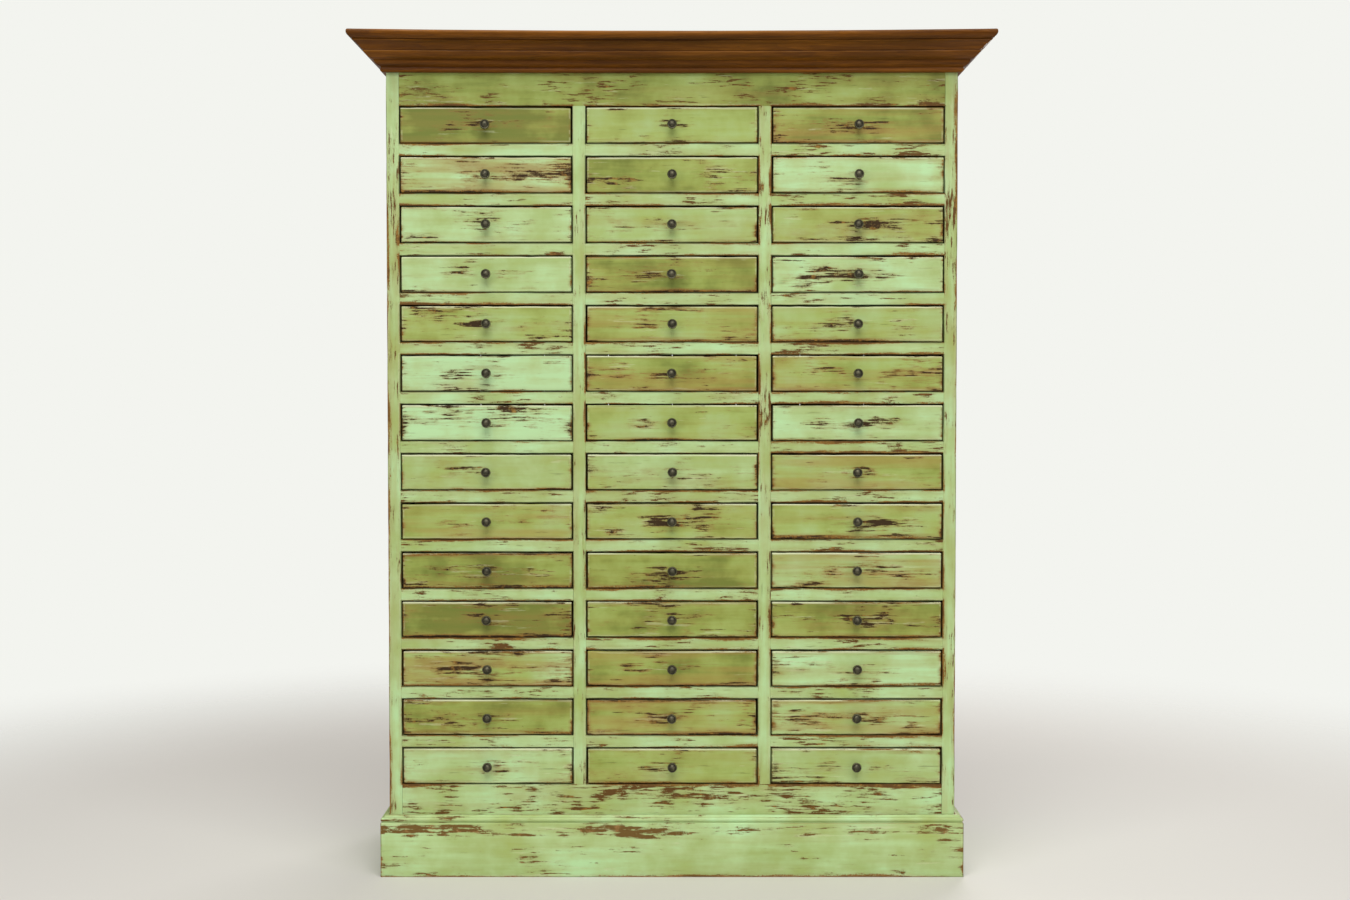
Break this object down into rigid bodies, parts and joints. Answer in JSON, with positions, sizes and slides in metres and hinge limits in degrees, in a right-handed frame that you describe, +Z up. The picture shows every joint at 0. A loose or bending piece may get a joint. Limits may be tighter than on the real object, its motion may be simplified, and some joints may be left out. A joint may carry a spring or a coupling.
{
  "type": "apothecary cabinet",
  "caption": "Tall painted wooden apothecary cabinet: a grid of small sliding drawers with round knobs in a face frame, moulded cornice above, skirting plinth below.",
  "frame": {"origin": "on the floor, under the centre of the cabinet's box", "axes": "+Z up, +X to the right as one faces the front, the drawers face and open along -Y"},
  "size_m": [1.166, 0.462, 1.5415],
  "materials": {
    "green_paint": "flat green paint, pale sage to olive, worn through to brown wood along edges and in streaks",
    "brown_stain": "brown stain under a worn satin varnish",
    "bare_wood": "unfinished, dusty with age",
    "dark_bronze": "dark bronze, satin, rubbed brighter on the crown"
  },
  "bodies": {
    "carcass": {"side_left": "green_paint", "side_right": "green_paint", "stile_left": "green_paint", "stile_right": "green_paint", "frieze_rail": "green_paint", "bottom_rail": "green_paint", "bottom_board": "bare_wood", "back_panel": "bare_wood", "top_board": "brown_stain", "cornice_front": "brown_stain", "cornice_left": "brown_stain", "cornice_right": "brown_stain", "plinth_front": "green_paint", "plinth_left": "green_paint", "plinth_right": "green_paint", "shelf_rack_left": "green_paint", "shelf_rack_centre": "green_paint", "shelf_rack_right": "green_paint"},
    "drawer_01_left": {"drawer_01_left": "green_paint"},
    "drawer_01_centre": {"drawer_01_centre": "green_paint"},
    "drawer_01_right": {"drawer_01_right": "green_paint"},
    "drawer_02_left": {"drawer_02_left": "green_paint"},
    "drawer_02_centre": {"drawer_02_centre": "green_paint"},
    "drawer_02_right": {"drawer_02_right": "green_paint"},
    "drawer_03_left": {"drawer_03_left": "green_paint"},
    "drawer_03_centre": {"drawer_03_centre": "green_paint"},
    "drawer_03_right": {"drawer_03_right": "green_paint"},
    "drawer_04_left": {"drawer_04_left": "green_paint"},
    "drawer_04_centre": {"drawer_04_centre": "green_paint"},
    "drawer_04_right": {"drawer_04_right": "green_paint"},
    "drawer_05_left": {"drawer_05_left": "green_paint"},
    "drawer_05_centre": {"drawer_05_centre": "green_paint"},
    "drawer_05_right": {"drawer_05_right": "green_paint"},
    "drawer_06_left": {"drawer_06_left": "green_paint"},
    "drawer_06_centre": {"drawer_06_centre": "green_paint"},
    "drawer_06_right": {"drawer_06_right": "green_paint"},
    "drawer_07_left": {"drawer_07_left": "green_paint"},
    "drawer_07_centre": {"drawer_07_centre": "green_paint"},
    "drawer_07_right": {"drawer_07_right": "green_paint"},
    "drawer_08_left": {"drawer_08_left": "green_paint"},
    "drawer_08_centre": {"drawer_08_centre": "green_paint"},
    "drawer_08_right": {"drawer_08_right": "green_paint"},
    "drawer_09_left": {"drawer_09_left": "green_paint"},
    "drawer_09_centre": {"drawer_09_centre": "green_paint"},
    "drawer_09_right": {"drawer_09_right": "green_paint"},
    "drawer_10_left": {"drawer_10_left": "green_paint"},
    "drawer_10_centre": {"drawer_10_centre": "green_paint"},
    "drawer_10_right": {"drawer_10_right": "green_paint"},
    "drawer_11_left": {"drawer_11_left": "green_paint"},
    "drawer_11_centre": {"drawer_11_centre": "green_paint"},
    "drawer_11_right": {"drawer_11_right": "green_paint"},
    "drawer_12_left": {"drawer_12_left": "green_paint"},
    "drawer_12_centre": {"drawer_12_centre": "green_paint"},
    "drawer_12_right": {"drawer_12_right": "green_paint"},
    "drawer_13_left": {"drawer_13_left": "green_paint"},
    "drawer_13_centre": {"drawer_13_centre": "green_paint"},
    "drawer_13_right": {"drawer_13_right": "green_paint"},
    "drawer_14_left": {"drawer_14_left": "green_paint"},
    "drawer_14_centre": {"drawer_14_centre": "green_paint"},
    "drawer_14_right": {"drawer_14_right": "green_paint"}
  },
  "joints": [
    {"name": "drawer_01_left_slide", "type": "slide", "parent": "carcass", "child": "drawer_01_left", "axis": [0, -1, 0], "range_m": [0, 0.3]},
    {"name": "drawer_01_centre_slide", "type": "slide", "parent": "carcass", "child": "drawer_01_centre", "axis": [0, -1, 0], "range_m": [0, 0.3]},
    {"name": "drawer_01_right_slide", "type": "slide", "parent": "carcass", "child": "drawer_01_right", "axis": [0, -1, 0], "range_m": [0, 0.3]},
    {"name": "drawer_02_left_slide", "type": "slide", "parent": "carcass", "child": "drawer_02_left", "axis": [0, -1, 0], "range_m": [0, 0.3]},
    {"name": "drawer_02_centre_slide", "type": "slide", "parent": "carcass", "child": "drawer_02_centre", "axis": [0, -1, 0], "range_m": [0, 0.3]},
    {"name": "drawer_02_right_slide", "type": "slide", "parent": "carcass", "child": "drawer_02_right", "axis": [0, -1, 0], "range_m": [0, 0.3]},
    {"name": "drawer_03_left_slide", "type": "slide", "parent": "carcass", "child": "drawer_03_left", "axis": [0, -1, 0], "range_m": [0, 0.3]},
    {"name": "drawer_03_centre_slide", "type": "slide", "parent": "carcass", "child": "drawer_03_centre", "axis": [0, -1, 0], "range_m": [0, 0.3]},
    {"name": "drawer_03_right_slide", "type": "slide", "parent": "carcass", "child": "drawer_03_right", "axis": [0, -1, 0], "range_m": [0, 0.3]},
    {"name": "drawer_04_left_slide", "type": "slide", "parent": "carcass", "child": "drawer_04_left", "axis": [0, -1, 0], "range_m": [0, 0.3]},
    {"name": "drawer_04_centre_slide", "type": "slide", "parent": "carcass", "child": "drawer_04_centre", "axis": [0, -1, 0], "range_m": [0, 0.3]},
    {"name": "drawer_04_right_slide", "type": "slide", "parent": "carcass", "child": "drawer_04_right", "axis": [0, -1, 0], "range_m": [0, 0.3]},
    {"name": "drawer_05_left_slide", "type": "slide", "parent": "carcass", "child": "drawer_05_left", "axis": [0, -1, 0], "range_m": [0, 0.3]},
    {"name": "drawer_05_centre_slide", "type": "slide", "parent": "carcass", "child": "drawer_05_centre", "axis": [0, -1, 0], "range_m": [0, 0.3]},
    {"name": "drawer_05_right_slide", "type": "slide", "parent": "carcass", "child": "drawer_05_right", "axis": [0, -1, 0], "range_m": [0, 0.3]},
    {"name": "drawer_06_left_slide", "type": "slide", "parent": "carcass", "child": "drawer_06_left", "axis": [0, -1, 0], "range_m": [0, 0.3]},
    {"name": "drawer_06_centre_slide", "type": "slide", "parent": "carcass", "child": "drawer_06_centre", "axis": [0, -1, 0], "range_m": [0, 0.3]},
    {"name": "drawer_06_right_slide", "type": "slide", "parent": "carcass", "child": "drawer_06_right", "axis": [0, -1, 0], "range_m": [0, 0.3]},
    {"name": "drawer_07_left_slide", "type": "slide", "parent": "carcass", "child": "drawer_07_left", "axis": [0, -1, 0], "range_m": [0, 0.3]},
    {"name": "drawer_07_centre_slide", "type": "slide", "parent": "carcass", "child": "drawer_07_centre", "axis": [0, -1, 0], "range_m": [0, 0.3]},
    {"name": "drawer_07_right_slide", "type": "slide", "parent": "carcass", "child": "drawer_07_right", "axis": [0, -1, 0], "range_m": [0, 0.3]},
    {"name": "drawer_08_left_slide", "type": "slide", "parent": "carcass", "child": "drawer_08_left", "axis": [0, -1, 0], "range_m": [0, 0.3]},
    {"name": "drawer_08_centre_slide", "type": "slide", "parent": "carcass", "child": "drawer_08_centre", "axis": [0, -1, 0], "range_m": [0, 0.3]},
    {"name": "drawer_08_right_slide", "type": "slide", "parent": "carcass", "child": "drawer_08_right", "axis": [0, -1, 0], "range_m": [0, 0.3]},
    {"name": "drawer_09_left_slide", "type": "slide", "parent": "carcass", "child": "drawer_09_left", "axis": [0, -1, 0], "range_m": [0, 0.3]},
    {"name": "drawer_09_centre_slide", "type": "slide", "parent": "carcass", "child": "drawer_09_centre", "axis": [0, -1, 0], "range_m": [0, 0.3]},
    {"name": "drawer_09_right_slide", "type": "slide", "parent": "carcass", "child": "drawer_09_right", "axis": [0, -1, 0], "range_m": [0, 0.3]},
    {"name": "drawer_10_left_slide", "type": "slide", "parent": "carcass", "child": "drawer_10_left", "axis": [0, -1, 0], "range_m": [0, 0.3]},
    {"name": "drawer_10_centre_slide", "type": "slide", "parent": "carcass", "child": "drawer_10_centre", "axis": [0, -1, 0], "range_m": [0, 0.3]},
    {"name": "drawer_10_right_slide", "type": "slide", "parent": "carcass", "child": "drawer_10_right", "axis": [0, -1, 0], "range_m": [0, 0.3]},
    {"name": "drawer_11_left_slide", "type": "slide", "parent": "carcass", "child": "drawer_11_left", "axis": [0, -1, 0], "range_m": [0, 0.3]},
    {"name": "drawer_11_centre_slide", "type": "slide", "parent": "carcass", "child": "drawer_11_centre", "axis": [0, -1, 0], "range_m": [0, 0.3]},
    {"name": "drawer_11_right_slide", "type": "slide", "parent": "carcass", "child": "drawer_11_right", "axis": [0, -1, 0], "range_m": [0, 0.3]},
    {"name": "drawer_12_left_slide", "type": "slide", "parent": "carcass", "child": "drawer_12_left", "axis": [0, -1, 0], "range_m": [0, 0.3]},
    {"name": "drawer_12_centre_slide", "type": "slide", "parent": "carcass", "child": "drawer_12_centre", "axis": [0, -1, 0], "range_m": [0, 0.3]},
    {"name": "drawer_12_right_slide", "type": "slide", "parent": "carcass", "child": "drawer_12_right", "axis": [0, -1, 0], "range_m": [0, 0.3]},
    {"name": "drawer_13_left_slide", "type": "slide", "parent": "carcass", "child": "drawer_13_left", "axis": [0, -1, 0], "range_m": [0, 0.3]},
    {"name": "drawer_13_centre_slide", "type": "slide", "parent": "carcass", "child": "drawer_13_centre", "axis": [0, -1, 0], "range_m": [0, 0.3]},
    {"name": "drawer_13_right_slide", "type": "slide", "parent": "carcass", "child": "drawer_13_right", "axis": [0, -1, 0], "range_m": [0, 0.3]},
    {"name": "drawer_14_left_slide", "type": "slide", "parent": "carcass", "child": "drawer_14_left", "axis": [0, -1, 0], "range_m": [0, 0.3]},
    {"name": "drawer_14_centre_slide", "type": "slide", "parent": "carcass", "child": "drawer_14_centre", "axis": [0, -1, 0], "range_m": [0, 0.3]},
    {"name": "drawer_14_right_slide", "type": "slide", "parent": "carcass", "child": "drawer_14_right", "axis": [0, -1, 0], "range_m": [0, 0.3]}
  ]
}
